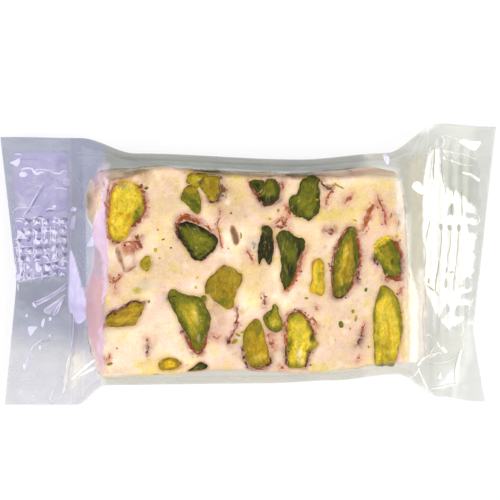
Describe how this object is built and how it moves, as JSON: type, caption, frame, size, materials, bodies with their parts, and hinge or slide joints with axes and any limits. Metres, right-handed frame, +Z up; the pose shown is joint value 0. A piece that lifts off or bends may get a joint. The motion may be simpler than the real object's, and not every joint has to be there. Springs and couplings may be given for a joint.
{
  "type": "wrapped nougat bar",
  "caption": "Rectangular bar of pale nougat with cut pistachio kernels, shut in a clear crimped film wrap, lying flat.",
  "frame": {"origin": "on the surface the pack rests on, under the middle of the bar, on the flat back seam", "axes": "+X along the bar and pack, +Y across them, +Z up out of the bar's shown cut face"},
  "size_m": [0.1103, 0.0623, 0.0131],
  "materials": {
    "clear_film": "clear glossy film, crimped at both ends",
    "nougat": "smooth, slightly sticky cut nougat, pink cream with yellow tints",
    "pistachio": "cut pistachio kernel, green rim and yellow heart",
    "pistachio_skin": "thin red-brown kernel skin"
  },
  "bodies": {
    "root": {"sealed_pack": "clear_film"}
  },
  "joints": []
}
